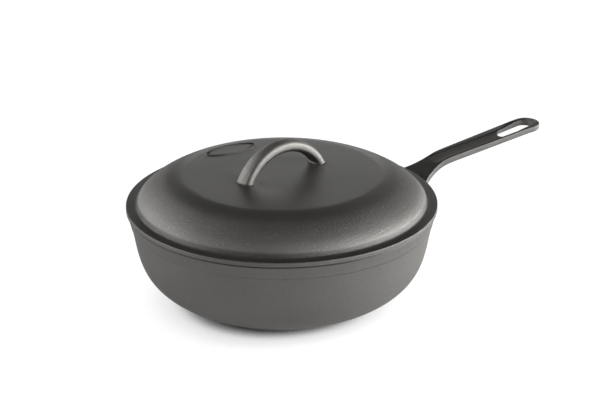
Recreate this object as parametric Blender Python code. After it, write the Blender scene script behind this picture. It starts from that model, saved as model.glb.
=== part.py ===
"""Deep fryer in cast iron: a round-bellied pan with a long handle, and a domed lid with a loop.

Both are single castings. The frame has its origin in the middle of the pan's base, on the
surface that the pan stands on, +Z up, and the long handle along +X. Metres throughout.
"""

import math

import bmesh
import bpy
from mathutils import Vector

# Pan body
RIM_RADIUS = 0.1342       # outside of the rim band, at its top edge
RIM_HEIGHT = 0.0854       # top of the rim above the base
RIM_BAND_HEIGHT = 0.0111  # from the rim's top down to the mould's parting line
RIM_BAND_STEP = 0.0005    # the band stands this proud of the wall under it
RIM_ROUND = 0.0008        # edges of the rim's top face
WALL = 0.0045
BASE_THICKNESS = 0.0055
BASE_RADIUS = 0.0658      # flat disc that the pan stands on
WALL_LEAN = math.radians(15.7)    # wall from upright, just under the rim
WALL_REACH = 0.0424               # how far down that lean carries
BELLY_SLOPE = math.radians(16.0)  # underside of the belly, where it leaves the base
BELLY_REACH = 0.072               # how far out that slope carries

# Long handle: distances along it are from the rim
HANDLE_REACH = 0.1412        # rim to the handle's tip
HANDLE_DROP = 0.0013         # top of the root below the rim's top
HANDLE_ROOT_SLOPE = 0.498    # rise of the root
HANDLE_SLOPE = 0.154         # rise of the grip
HANDLE_BEND = 0.0306         # where root and grip meet
HANDLE_BEND_EASE = 0.0031    # how gently they do
HANDLE_WIDTH = 0.0200        # at the rim, but for the flare there
HANDLE_TIP_WIDTH = 0.0266
HANDLE_TIP_ROUND = 0.0128    # length of the rounded tip
HANDLE_TIP_DROOP = 0.0014    # the grip levels off by this much at the tip
HANDLE_LEVEL_START = 0.1180  # where it begins to
HANDLE_FLARE = 0.0122        # added to each side of the handle at the rim
HANDLE_FLARE_LENGTH = 0.0300 # where that flare has run out
HANDLE_EDGE = 0.0058         # thickness at the handle's long edges
HANDLE_TIP_EDGE = 0.0053     # and at its tip
HANDLE_EDGE_ROUND = 0.0012   # rounding of those edges
HANDLE_BELLY = 0.0016        # underside is this much lower in the middle, less towards the tip
ROOT_FILLET_DEPTH = 0.0012   # the root thickens downwards into the wall
ROOT_FILLET_LENGTH = 0.014
TROUGH_DEPTH = 0.0027        # hollow along the top of the grip
TROUGH_END_DEPTH = 0.0003    # what is left of it past the slot
TROUGH_START = 0.0222
TROUGH_RUN_IN = 0.012
TROUGH_RIM = 0.0024          # flat border on each side of the hollow
TROUGH_FLATNESS = 2.6        # how level the hollow's bottom is across
SLOT_NEAR_RADIUS = 0.0074    # hanging slot, end nearer the pan
SLOT_FAR_RADIUS = 0.0080
SLOT_LENGTH = 0.0363
SLOT_TIP_WALL = 0.0072       # metal left between slot and tip

# Lid
LID_GAP = 0.0003             # between the lid's flange and the rim it rests on
FLANGE_OVERHANG = 0.0008     # flange past the rim band
FLANGE_THICKNESS = 0.0042
FLANGE_ROUND = 0.0008
FLANGE_WIDTH = 0.0090        # flat ring round the dome
DOME_RISE = 0.0253           # crown above the flange's top
DOME_CROWNING = 0.0004       # middle of the crown above its edge
SHOULDER_WIDTH = 0.0415      # from the dome's foot in to the nearly flat crown
DOME_FOOT_REACH = 0.0095     # how upright the dome starts
DOME_SHOULDER_REACH = 0.0125 # how far the crown carries before the shoulder
LID_WALL = 0.0040
LIP_DEPTH = 0.0045           # locating lip below the flange
LIP_THICKNESS = 0.0046
LIP_CLEARANCE = 0.0010       # lip to the pan's inner wall
LID_TURN = math.radians(10.0)  # lid's loop from the long handle's direction, as photographed

# Loop on the lid, in the lid's own frame along its X
LOOP_HALF_SPAN = 0.0403      # axis to the middle of each foot
LOOP_RISE = 0.0237           # middle of the bar above the crown
LOOP_BAR_HEIGHT = 0.0114     # oval bar at its top, measured in the plane of the arch
LOOP_BAR_WIDTH = 0.0154      # and across it
LOOP_FOOT_HEIGHT = 0.0088    # the same two at its feet
LOOP_FOOT_WIDTH = 0.0170
LOOP_FOOT_FLARE = 0.0014     # small fillet round each foot

# Cast iron, seasoned
PAN_COLOUR = (0.115, 0.112, 0.105)
PAN_ROUGHNESS = 0.48
LID_COLOUR = (0.125, 0.121, 0.114)
LID_ROUGHNESS = 0.45
IRON_METALLIC = 0.6

# Fineness of the surfaces
TURN_STEPS = 64
CURVE_STEPS = 12
HANDLE_STEPS = 22
HANDLE_CROWDING = 1.25    # above 1, the steps are shorter near the root
BELLY_STEPS = 3
TROUGH_STEPS = 4
TIP_STEPS = 10
LOOP_STEPS = 20
FILLET_STEPS = 2
BAR_SIDES = 14
SHARP_ANGLE = math.radians(35)
ROUND_SHARE = 0.8         # most of a narrow border that a rounding may take
WELD = 0.000001


def clear_scene():
    """Remove whatever the scene holds."""
    for item in list(bpy.data.objects):
        bpy.data.objects.remove(item, do_unlink=True)


def cast_iron(name, colour, roughness):
    """Seasoned cast iron."""
    material = bpy.data.materials.new(name)
    material.use_nodes = True
    shader = material.node_tree.nodes["Principled BSDF"]
    shader.inputs["Base Color"].default_value = (*colour, 1.0)
    shader.inputs["Roughness"].default_value = roughness
    shader.inputs["Metallic"].default_value = IRON_METALLIC
    return material


def bezier(start, lead, arrive, end, steps):
    """Points of a cubic curve from start to end, both included."""
    points = []
    for i in range(steps + 1):
        t = i / steps
        s = 1.0 - t
        points.append(start * s**3 + lead * 3 * s * s * t + arrive * 3 * s * t * t + end * t**3)
    return points


def offset_inwards(points, distance):
    """The same outline, moved to its right-hand side seen along the points."""
    moved = []
    for i, point in enumerate(points):
        ahead = points[min(i + 1, len(points) - 1)]
        behind = points[max(i - 1, 0)]
        along = (ahead - behind).normalized()
        moved.append(point + Vector((along.y, -along.x)) * distance)
    return moved


def rounded_corner(before, corner, after, radius, steps=3):
    """A corner of an outline as a few points of a curve that leaves it at radius."""
    into = (before - corner).normalized() * radius
    away = (after - corner).normalized() * radius
    points = []
    for i in range(steps + 1):
        t = i / steps
        points.append(corner + into * (1 - t) ** 2 + away * t * t)
    return points


def new_object(name, mesh_builder, material):
    """Object with the mesh that a bmesh holds, smooth but for its sharp edges."""
    mesh = bpy.data.meshes.new(name)
    bmesh.ops.remove_doubles(mesh_builder, verts=mesh_builder.verts, dist=WELD)
    bmesh.ops.dissolve_degenerate(mesh_builder, edges=mesh_builder.edges, dist=WELD)
    bmesh.ops.recalc_face_normals(mesh_builder, faces=mesh_builder.faces)
    mesh_builder.to_mesh(mesh)
    mesh_builder.free()
    mesh.shade_smooth()
    mesh.set_sharp_from_angle(angle=SHARP_ANGLE)
    mesh.materials.append(material)
    item = bpy.data.objects.new(name, mesh)
    bpy.context.scene.collection.objects.link(item)
    return item


def turned(name, profile, material):
    """Solid turned round Z from an outline of (radius, height) points that ends on the axis."""
    builder = bmesh.new()
    corners = [builder.verts.new((p.x, 0.0, p.y)) for p in profile]
    outline = [builder.edges.new(pair) for pair in zip(corners, corners[1:])]
    bmesh.ops.spin(
        builder, geom=corners + outline, cent=(0, 0, 0), axis=(0, 0, 1),
        angle=math.tau, steps=TURN_STEPS, use_merge=True,
    )
    return new_object(name, builder, material)


def combine(body, tool, operation):
    """Join or cut a body with a tool, and drop the tool."""
    modifier = body.modifiers.new(operation.title(), "BOOLEAN")
    modifier.operation = operation
    modifier.solver = "EXACT"
    modifier.object = tool
    bpy.context.view_layer.update()
    evaluated = body.evaluated_get(bpy.context.evaluated_depsgraph_get())
    result = bpy.data.meshes.new_from_object(evaluated)
    result.name = body.name
    body.modifiers.clear()
    body.data = result
    bpy.data.objects.remove(tool, do_unlink=True)


def wall_outline():
    """Outside of the pan's wall, from the rim's top to the edge of the flat base."""
    rim = Vector((RIM_RADIUS, RIM_HEIGHT))
    base = Vector((BASE_RADIUS, 0.0))
    lead = rim - Vector((math.sin(WALL_LEAN), math.cos(WALL_LEAN))) * WALL_REACH
    arrive = base + Vector((math.cos(BELLY_SLOPE), math.sin(BELLY_SLOPE))) * BELLY_REACH
    return bezier(rim, lead, arrive, base, CURVE_STEPS)


def radius_at(outline, height):
    """Radius of an outline at a height, by the straight run that spans it."""
    for upper, lower in zip(outline, outline[1:]):
        if lower.y <= height <= upper.y:
            share = (upper.y - height) / (upper.y - lower.y)
            return upper.x + (lower.x - upper.x) * share
    return outline[0].x


def inner_radius(height):
    """Radius of the pan's inner wall at a height."""
    return radius_at(offset_inwards(wall_outline(), WALL), height)


def pan_profile():
    """Outline of the pan's body: up the inside, over the rim, down the outside, to the axis."""
    outside = wall_outline()
    inside = offset_inwards(outside, WALL)
    band_foot = RIM_HEIGHT - RIM_BAND_HEIGHT
    band = Vector((radius_at(outside, band_foot), band_foot))
    step = Vector((band.x - RIM_BAND_STEP, band_foot - RIM_BAND_STEP))
    below_band = [p for p in outside if p.y < step.y]
    below_band = [p - Vector((RIM_BAND_STEP * p.y / band_foot, 0)) for p in below_band]
    rim_outer = Vector((RIM_RADIUS, RIM_HEIGHT))
    rim_inner = Vector((inner_radius(RIM_HEIGHT), RIM_HEIGHT))
    hollow = [p for p in inside if BASE_THICKNESS < p.y < RIM_HEIGHT - 2 * RIM_ROUND]
    floor_edge = Vector((radius_at(inside, BASE_THICKNESS), BASE_THICKNESS))
    points = [Vector((0, BASE_THICKNESS)), floor_edge]
    points += reversed(hollow)
    points += rounded_corner(hollow[0], rim_inner, rim_outer, RIM_ROUND)
    points += rounded_corner(rim_inner, rim_outer, band, RIM_ROUND)
    points += [band, step] + below_band + [Vector((0, 0))]
    return points


def handle_top(s):
    """Height of the handle's long edges at a distance s from the rim."""
    ease = HANDLE_BEND_EASE
    bend = ease * math.log1p(math.exp((s - HANDLE_BEND) / ease))
    bend -= ease * math.log1p(math.exp(-HANDLE_BEND / ease))
    rise = HANDLE_ROOT_SLOPE * s + (HANDLE_SLOPE - HANDLE_ROOT_SLOPE) * bend
    levelling = max(0.0, (s - HANDLE_LEVEL_START) / (HANDLE_REACH - HANDLE_LEVEL_START))
    return RIM_HEIGHT - HANDLE_DROP + rise - HANDLE_TIP_DROOP * levelling * levelling


def tip_centre():
    """Where the handle's sides end and its rounded tip starts."""
    return HANDLE_REACH - HANDLE_TIP_ROUND


def handle_half_width(s):
    """Half of the handle's width: a taper from tip to rim, and a flare into the rim."""
    width = HANDLE_WIDTH + (HANDLE_TIP_WIDTH - HANDLE_WIDTH) * s / tip_centre()
    flare = max(0.0, 1.0 - s / HANDLE_FLARE_LENGTH)
    return width / 2 + HANDLE_FLARE * flare * flare


def handle_edge(s):
    """Thickness at the handle's long edges: a taper to the tip, and a thicker root."""
    fillet = max(0.0, 1.0 - s / ROOT_FILLET_LENGTH)
    taper = (HANDLE_TIP_EDGE - HANDLE_EDGE) * s / tip_centre()
    return HANDLE_EDGE + taper + ROOT_FILLET_DEPTH * fillet * fillet


def smooth_step(value):
    """0 below 0, 1 above 1, with soft ends."""
    t = min(max(value, 0.0), 1.0)
    return t * t * (3 - 2 * t)


def slot_centres():
    """Middles of the hanging slot's two rounded ends, along the handle."""
    far = HANDLE_REACH - SLOT_TIP_WALL - SLOT_FAR_RADIUS
    near = far + SLOT_FAR_RADIUS - SLOT_LENGTH + SLOT_NEAR_RADIUS
    return near, far


def trough_depth(s):
    """Depth of the hollow along the grip: none at the root, little left past the slot."""
    near, far = slot_centres()
    full = TROUGH_DEPTH * smooth_step((s - TROUGH_START) / TROUGH_RUN_IN)
    return full + (TROUGH_END_DEPTH - full) * smooth_step((s - near) / (far - near))


def handle_section(s, half_width):
    """Half a section of the handle as (outward, height) points, from under its middle to its top."""
    top = handle_top(s)
    under = top - handle_edge(s)
    hollow = half_width - TROUGH_RIM
    belly = HANDLE_BELLY * (1 - (s / HANDLE_REACH) ** 2)
    points = []
    for i in range(BELLY_STEPS):
        share = i / BELLY_STEPS
        points.append(Vector((share * half_width, under - belly * (1 - share * share))))
    lower = Vector((half_width, under))
    upper = Vector((half_width, top))
    border = Vector((hollow, top))
    edge = min(HANDLE_EDGE_ROUND, ROUND_SHARE * min(TROUGH_RIM, HANDLE_EDGE / 2))
    points += rounded_corner(points[-1], lower, upper, edge, steps=2)
    points += rounded_corner(lower, upper, border, edge, steps=2)
    for i in range(TROUGH_STEPS + 1):
        share = 1 - i / TROUGH_STEPS
        dip = trough_depth(s) * (1 - share**TROUGH_FLATNESS)
        points.append(Vector((share * hollow, top - dip)))
    return points


def handle_stations():
    """Distances along the handle from the rim to the tip's centre, closer together at the root."""
    shares = [(i / HANDLE_STEPS) ** HANDLE_CROWDING for i in range(HANDLE_STEPS + 1)]
    return [tip_centre() * share for share in shares]


def handle_columns():
    """The handle's surface as columns of points, round its outline from one side to the other."""
    columns = []
    for side in (1, -1):
        run = []
        for s in handle_stations():
            half = handle_half_width(s)
            section = handle_section(s, half)
            run.append([Vector((RIM_RADIUS + s, side * y, z)) for y, z in section])
        root = [sunk_in_wall(point) for point in run[0]]
        run.insert(0, root)
        columns.append(run)
    tip = []
    centre = tip_centre()
    half = handle_half_width(centre)
    for i in range(1, TIP_STEPS):
        angle = math.pi / 2 - math.pi * i / TIP_STEPS
        across, along = math.sin(angle), math.cos(angle) * HANDLE_TIP_ROUND / half
        rise = handle_top(centre + HANDLE_TIP_ROUND * math.cos(angle)) - handle_top(centre)
        column = []
        for outward, height in handle_section(centre, half):
            lift = rise * outward / half
            reach = RIM_RADIUS + centre + outward * along
            column.append(Vector((reach, outward * across, height + lift)))
        tip.append(column)
    return columns[0] + tip + list(reversed(columns[1]))


def sunk_in_wall(point):
    """A point of the handle's root moved back along the handle to the middle of the pan's wall."""
    middle = radius_at(wall_outline(), min(point.z, RIM_HEIGHT)) - WALL / 2
    return Vector((math.sqrt(middle**2 - point.y**2), point.y, point.z))


def make_handle(material):
    """The long handle with its slot, its root sunk in the pan's wall."""
    builder = bmesh.new()
    grid = [[builder.verts.new(p) for p in column] for column in handle_columns()]
    for left, right in zip(grid, grid[1:]):
        for i in range(len(left) - 1):
            builder.faces.new((left[i], left[i + 1], right[i + 1], right[i]))
    builder.faces.new(grid[0] + list(reversed(grid[-1])))
    handle = new_object("handle_solid", builder, material)
    combine(handle, make_slot_cutter(material), "DIFFERENCE")
    return handle


def rounded_end(centre, radius, start, turn):
    """Points of an arc of the slot's outline, clockwise from a start angle through a turn."""
    angles = [start - turn * i / TIP_STEPS for i in range(TIP_STEPS + 1)]
    middle = RIM_RADIUS + centre
    return [(middle + radius * math.cos(a), radius * math.sin(a)) for a in angles]


def make_slot_cutter(material):
    """Prism of the hanging slot's outline, taller than the handle."""
    near, far = slot_centres()
    lean = math.asin((SLOT_FAR_RADIUS - SLOT_NEAR_RADIUS) / (far - near))
    far_turn = math.pi + 2 * lean
    near_turn = math.pi - 2 * lean
    outline = rounded_end(far, SLOT_FAR_RADIUS, far_turn / 2, far_turn)
    outline += rounded_end(near, SLOT_NEAR_RADIUS, -far_turn / 2, near_turn)
    bottom = handle_top(near) - 2 * (HANDLE_EDGE + HANDLE_BELLY)
    height = handle_top(HANDLE_REACH) + HANDLE_EDGE - bottom
    builder = bmesh.new()
    face = builder.faces.new([builder.verts.new((x, y, bottom)) for x, y in outline])
    pushed = bmesh.ops.extrude_face_region(builder, geom=[face])["geom"]
    raised = [item for item in pushed if isinstance(item, bmesh.types.BMVert)]
    bmesh.ops.translate(builder, verts=raised, vec=(0, 0, height))
    cutter = new_object("slot_cutter", builder, material)
    cutter.hide_render = True
    cutter.display_type = "WIRE"
    return cutter


def make_pan(material):
    """The pan: body and long handle in one casting."""
    pan = turned("pan", pan_profile(), material)
    combine(pan, make_handle(material), "UNION")
    return pan


def flange_radius():
    """Outside of the lid's flange."""
    return RIM_RADIUS + FLANGE_OVERHANG


def crown_radius():
    """Edge of the nearly flat crown."""
    return flange_radius() - FLANGE_WIDTH - SHOULDER_WIDTH


def dome_outline():
    """Outside of the dome in the lid's own frame, from its foot on the flange to its crown."""
    top = LID_GAP + FLANGE_THICKNESS
    foot = Vector((flange_radius() - FLANGE_WIDTH, top))
    crown = Vector((crown_radius(), top + DOME_RISE - DOME_CROWNING))
    lead = foot + Vector((0, DOME_FOOT_REACH))
    arrive = crown + Vector((DOME_SHOULDER_REACH, 0))
    return bezier(foot, lead, arrive, crown, CURVE_STEPS)


def crown_height(radius):
    """Height of the crown in the lid's own frame."""
    share = radius / crown_radius()
    return LID_GAP + FLANGE_THICKNESS + DOME_RISE - DOME_CROWNING * share * share


def lid_profile():
    """Outline of the lid's body: from the axis down the outside, round the flange, up the inside."""
    outside = list(reversed(dome_outline()))
    top = LID_GAP + FLANGE_THICKNESS
    edge = flange_radius()
    under = LID_GAP
    lip_top = inner_radius(RIM_HEIGHT) - LIP_CLEARANCE
    lip_bottom = inner_radius(RIM_HEIGHT - LIP_DEPTH) - LIP_CLEARANCE
    lip_inner = lip_bottom - LIP_THICKNESS
    inside = offset_inwards(outside, LID_WALL)
    dome_inside = [p for p in reversed(inside) if p.y > top and p.x < lip_inner]
    top_edge = Vector((edge, top))
    under_edge = Vector((edge, under))
    foot = outside[-1]
    lip_outer_foot = Vector((lip_bottom, under - LIP_DEPTH))
    lip_inner_foot = Vector((lip_inner, under - LIP_DEPTH))
    lip_root = Vector((lip_top, under))
    halfway = crown_radius() / 2
    points = [Vector((0, crown_height(0))), Vector((halfway, crown_height(halfway)))]
    points += outside
    points += rounded_corner(foot, top_edge, under_edge, FLANGE_ROUND)
    points += rounded_corner(top_edge, under_edge, lip_root, FLANGE_ROUND)
    points += [lip_root]
    points += rounded_corner(lip_root, lip_outer_foot, lip_inner_foot, FLANGE_ROUND)
    points += rounded_corner(lip_outer_foot, lip_inner_foot, dome_inside[0], FLANGE_ROUND)
    points += dome_inside
    points += [Vector((0, crown_height(0) - LID_WALL))]
    return points


def loop_circle():
    """Radius and centre height of the loop's middle line, in the lid's own frame."""
    radius = (LOOP_HALF_SPAN**2 + LOOP_RISE**2) / (2 * LOOP_RISE)
    return radius, crown_height(LOOP_HALF_SPAN) + LOOP_RISE - radius


def loop_ring(angle, radius, centre, flare):
    """Points round the oval bar where the middle line stands at an angle from the top."""
    half = math.asin(LOOP_HALF_SPAN / radius)
    share = (angle / half) ** 2
    bar_height = LOOP_BAR_HEIGHT + (LOOP_FOOT_HEIGHT - LOOP_BAR_HEIGHT) * share
    bar_width = LOOP_BAR_WIDTH + (LOOP_FOOT_WIDTH - LOOP_BAR_WIDTH) * share
    out = Vector((math.sin(angle), 0, math.cos(angle)))
    middle = Vector((0, 0, centre)) + out * radius
    ring = []
    for i in range(BAR_SIDES):
        turn = math.tau * i / BAR_SIDES
        height = (bar_height / 2 + flare) * math.cos(turn)
        width = (bar_width / 2 + flare) * math.sin(turn)
        ring.append(middle + out * height + Vector((0, width, 0)))
    return ring


def lowered_to(ring, angle, level):
    """A ring of the bar slid along the bar's direction until all its points are at one level."""
    along = Vector((math.cos(angle), 0, -math.sin(angle)))
    if along.z > 0:
        along = -along
    return [point + along * ((level - point.z) / along.z) for point in ring]


def loop_foot(angle, radius, centre):
    """Rings of one foot, from inside the lid's wall up to where its fillet ends."""
    surface = crown_height(LOOP_HALF_SPAN)
    root = loop_ring(angle, radius, centre, LOOP_FOOT_FLARE)
    rings = [lowered_to(root, angle, surface - LID_WALL / 2)]
    for i in range(FILLET_STEPS + 1):
        turn = math.pi / 2 * i / FILLET_STEPS
        flare = LOOP_FOOT_FLARE * (1 - math.sin(turn))
        level = surface + LOOP_FOOT_FLARE * (1 - math.cos(turn))
        rings.append(lowered_to(loop_ring(angle, radius, centre, flare), angle, level))
    return rings


def make_loop(material):
    """The loop: an arch of oval bar with a small fillet round each foot."""
    radius, centre = loop_circle()
    half = math.asin(LOOP_HALF_SPAN / radius)
    fillet_top = crown_height(LOOP_HALF_SPAN) + LOOP_FOOT_FLARE
    angles = [half * (2 * i / LOOP_STEPS - 1) for i in range(1, LOOP_STEPS)]
    arch = [loop_ring(angle, radius, centre, 0.0) for angle in angles]
    arch = [ring for ring in arch if min(p.z for p in ring) > fillet_top]
    stack = loop_foot(-half, radius, centre) + arch
    stack += reversed(loop_foot(half, radius, centre))
    builder = bmesh.new()
    grid = [[builder.verts.new(p) for p in ring] for ring in stack]
    for lower, upper in zip(grid, grid[1:]):
        for i in range(BAR_SIDES):
            j = (i + 1) % BAR_SIDES
            builder.faces.new((lower[i], lower[j], upper[j], upper[i]))
    builder.faces.new(grid[0])
    builder.faces.new(grid[-1])
    return new_object("loop_solid", builder, material)


def make_lid(material):
    """The lid: dome, flange, locating lip and loop in one casting, its origin at the rim."""
    lid = turned("lid", lid_profile(), material)
    combine(lid, make_loop(material), "UNION")
    lid.location = (0.0, 0.0, RIM_HEIGHT)
    lid.rotation_euler = (0.0, 0.0, LID_TURN)
    return lid


def main():
    clear_scene()
    make_pan(cast_iron("pan_iron", PAN_COLOUR, PAN_ROUGHNESS))
    make_lid(cast_iron("lid_iron", LID_COLOUR, LID_ROUGHNESS))


main()
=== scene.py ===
"""Cast iron deep fryer: the pan and its lid at full fineness, their iron, and a plain studio.

Metres, in the row's frame: the origin is in the middle of the pan's base, +Z is up and the long
handle runs along +X. The lid is made in its own frame, whose origin is in the middle of the rim.
"""

import math

import bmesh
import bpy
from mathutils import Matrix, Vector


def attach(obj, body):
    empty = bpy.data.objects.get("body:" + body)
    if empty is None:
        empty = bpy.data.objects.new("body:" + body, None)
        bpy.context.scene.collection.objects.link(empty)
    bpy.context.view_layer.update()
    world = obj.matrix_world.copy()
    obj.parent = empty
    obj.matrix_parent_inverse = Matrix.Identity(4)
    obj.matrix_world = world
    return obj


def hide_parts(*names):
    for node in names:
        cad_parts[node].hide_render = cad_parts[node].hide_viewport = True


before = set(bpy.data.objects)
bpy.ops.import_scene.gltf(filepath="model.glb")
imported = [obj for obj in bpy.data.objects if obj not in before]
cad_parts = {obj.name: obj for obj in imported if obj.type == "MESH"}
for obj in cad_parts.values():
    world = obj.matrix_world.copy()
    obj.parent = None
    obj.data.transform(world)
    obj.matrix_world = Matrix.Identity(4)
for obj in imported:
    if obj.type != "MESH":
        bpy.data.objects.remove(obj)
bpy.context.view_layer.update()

# ---- Sizes of the pan's body
RIM_RADIUS = 0.1342
RIM_HEIGHT = 0.0854
RIM_ROUND = 0.0008
BAND_HEIGHT = 0.0111        # rim's top down to the mould's parting line
BAND_STEP = 0.0005          # the band stands this proud of the wall under it
BAND_STEP_DROP = 0.0006     # height in which it steps back
WALL = 0.0045
BASE_THICKNESS = 0.0055
BASE_RADIUS = 0.0658
BASE_ROUND = 0.0040         # softened edge of the flat base
BASE_CUT = 0.4              # the wall's own curve ends this many roundings above the base
FLOOR_ROUND = 0.0080        # inside, where the wall runs into the floor
WALL_LEAN = math.radians(15.7)
WALL_REACH = 0.0424
BELLY_SLOPE = math.radians(16.0)
BELLY_REACH = 0.072

# ---- Sizes of the long handle, with distances from the rim
HANDLE_REACH = 0.1412
HANDLE_DROP = 0.0013
HANDLE_ROOT_SLOPE = 0.498
HANDLE_SLOPE = 0.154
HANDLE_BEND = 0.0306
HANDLE_BEND_EASE = 0.0031
HANDLE_WIDTH = 0.0200
HANDLE_TIP_WIDTH = 0.0266
HANDLE_TIP_ROUND = 0.0128
HANDLE_TIP_DROOP = 0.0014    # the grip levels off by this much at the tip
HANDLE_LEVEL_START = 0.1180
HANDLE_FLARE = 0.0122
HANDLE_FLARE_LENGTH = 0.0300
HANDLE_EDGE = 0.0058
HANDLE_TIP_EDGE = 0.0053
HANDLE_UPPER_ROUND = 0.0009
HANDLE_LOWER_ROUND = 0.0010
HANDLE_BELLY = 0.0016
ROOT_DEEPENING = 0.0012
ROOT_DEEPENING_LENGTH = 0.014
ROOT_FILLET_TOP = 0.0011
ROOT_FILLET_SIDE = 0.0032
ROOT_FILLET_UNDER = 0.0030
ROOT_FILLET_TURN = math.radians(80.0)   # how far round its quarter circle a fillet goes
ROOT_SINK_SPREAD = 0.86     # spread of the part that is sunk in the wall, in fillets
TROUGH_START = 0.0222
TROUGH_RIM = 0.0024
TROUGH_FIRST_DEPTH = 0.0022
TROUGH_DEPTH = 0.0031
TROUGH_END_DEPTH = 0.0003
TROUGH_FLATNESS = 3.6
SLOT_NEAR_RADIUS = 0.0074
SLOT_FAR_RADIUS = 0.0080
SLOT_LENGTH = 0.0363
SLOT_TIP_WALL = 0.0072
SLOT_ROUND = 0.0007
SLOT_ROUND_TURN = math.radians(80.0)

# ---- Sizes of the lid
LID_GAP = 0.0003
LID_TURN = math.radians(10.0)
FLANGE_OVERHANG = 0.0008
FLANGE_THICKNESS = 0.0042
FLANGE_ROUND = 0.0006
FLANGE_WIDTH = 0.0090
DOME_RISE = 0.0253
DOME_CROWNING = 0.0004
DOME_FOOT_REACH = 0.0095
DOME_FOOT_FILLET = 0.0018
DOME_FOOT_CUT = 1.2         # the dome's own curve ends this many fillets above the flange
DOME_SHOULDER_REACH = 0.0125
SHOULDER_WIDTH = 0.0415
LID_WALL = 0.0040
LIP_DEPTH = 0.0045
LIP_THICKNESS = 0.0046
LIP_CLEARANCE = 0.0010

# ---- Loop and oval on the lid
LOOP_HALF_SPAN = 0.0403
LOOP_RISE = 0.0239
LOOP_BAR_HEIGHT = 0.0110
LOOP_BAR_WIDTH = 0.0144
LOOP_SQUARENESS = 2.7       # 2 is an oval bar; more gives it flatter faces
LOOP_FOOT_HEIGHT = 0.0088
LOOP_FOOT_WIDTH = 0.0160
LOOP_FOOT_FLARE = 0.0014
LOOP_FOOT_TURN = math.radians(8.0)      # where the foot's fillet leaves the crown
LOOP_RIDGE = 0.00035        # parting line left standing along the outside of the bar
LOOP_RIDGE_TURN = math.radians(7.0)
OVAL_CENTRE = 0.0738        # from the lid's axis, square to the loop
OVAL_SHIFT = 0.0010         # along the loop
OVAL_TURN = math.radians(-6.0)
OVAL_HALF_LENGTH = 0.0251
OVAL_HALF_WIDTH = 0.0094
OVAL_RIM_WIDTH = 0.0024
OVAL_RIM_HEIGHT = 0.0007
OVAL_RIM_TOP_WIDTH = 0.92   # share of the rim's width that is rounded
OVAL_RIM_FULLNESS = 0.7     # 1 is a round rim; less gives it a flatter top
OVAL_GROOVE_RADIUS = 0.0010

# ---- Fineness
TURN_STEPS = 240
CURVE_STEPS = 48
ROOT_SEARCH_STEPS = 4
ROUND_STEPS = 5
CROWN_STEPS = 16
HANDLE_STEPS = 150
BELLY_STEPS = 7
TROUGH_STEPS = 14
TIP_STEPS = 28
ROOT_STEPS = 6
SLOT_STEPS = 22
LOOP_STEPS = 64
BAR_SIDES = 48
OVAL_STEPS = 96
OVAL_RIM_STEPS = 8
OVAL_GROOVE_SIDES = 10
SHARP_ANGLE = math.radians(40)
MERGE_DISTANCE = 1e-6


# ---- Curves and solids

def bezier(start, lead, arrive, end, steps):
    """Points of a cubic curve from start to end, both included."""
    points = []
    for i in range(steps + 1):
        t = i / steps
        s = 1.0 - t
        points.append(start * s**3 + lead * 3 * s * s * t + arrive * 3 * s * t * t + end * t**3)
    return points


def offset_inwards(points, distance):
    """The same outline, moved to its right-hand side seen along the points."""
    moved = []
    for i, point in enumerate(points):
        along = points[min(i + 1, len(points) - 1)] - points[max(i - 1, 0)]
        along.normalize()
        moved.append(point + Vector((along.y, -along.x)) * distance)
    return moved


def rounded_corner(before, corner, after, radius, steps=ROUND_STEPS):
    """A corner of an outline as points of a curve that leaves it at radius."""
    into = (before - corner).normalized() * radius
    away = (after - corner).normalized() * radius
    shares = [i / steps for i in range(steps + 1)]
    return [corner + into * (1 - t) ** 2 + away * t * t for t in shares]


def smooth_step(value):
    """0 below 0, 1 above 1, with soft ends."""
    t = min(max(value, 0.0), 1.0)
    return t * t * (3 - 2 * t)


def solid(name, builder):
    """Object with the mesh that a bmesh holds, its faces turned outwards."""
    bmesh.ops.remove_doubles(builder, verts=builder.verts, dist=MERGE_DISTANCE)
    bmesh.ops.dissolve_degenerate(builder, edges=builder.edges, dist=MERGE_DISTANCE)
    bmesh.ops.recalc_face_normals(builder, faces=builder.faces)
    mesh = bpy.data.meshes.new(name)
    builder.to_mesh(mesh)
    builder.free()
    item = bpy.data.objects.new(name, mesh)
    bpy.context.scene.collection.objects.link(item)
    return item


def shade(item):
    """Smooth shading, with a crease only where two faces meet sharply."""
    item.data.shade_smooth()
    item.data.set_sharp_from_angle(angle=SHARP_ANGLE)


def turned(name, outline):
    """Solid turned round Z from (radius, height) points, the first and last on the axis."""
    builder = bmesh.new()
    first = builder.verts.new((0, 0, outline[0].y))
    last = builder.verts.new((0, 0, outline[-1].y))
    columns = []
    for i in range(TURN_STEPS):
        turn = math.tau * i / TURN_STEPS
        across, along = math.sin(turn), math.cos(turn)
        columns.append([builder.verts.new((p.x * along, p.x * across, p.y)) for p in outline[1:-1]])
    for left, right in zip(columns, columns[1:] + columns[:1]):
        builder.faces.new((first, left[0], right[0]))
        for i in range(len(left) - 1):
            builder.faces.new((left[i], left[i + 1], right[i + 1], right[i]))
        builder.faces.new((last, right[-1], left[-1]))
    return solid(name, builder)


def tube(name, rings, closed):
    """Solid through rings of points, joined end to end or capped."""
    builder = bmesh.new()
    grid = [[builder.verts.new(p) for p in ring] for ring in rings]
    pairs = list(zip(grid, grid[1:]))
    if closed:
        pairs.append((grid[-1], grid[0]))
    else:
        builder.faces.new(grid[0])
        builder.faces.new(grid[-1])
    for lower, upper in pairs:
        for i in range(len(lower)):
            j = (i + 1) % len(lower)
            builder.faces.new((lower[i], lower[j], upper[j], upper[i]))
    return solid(name, builder)


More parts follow.
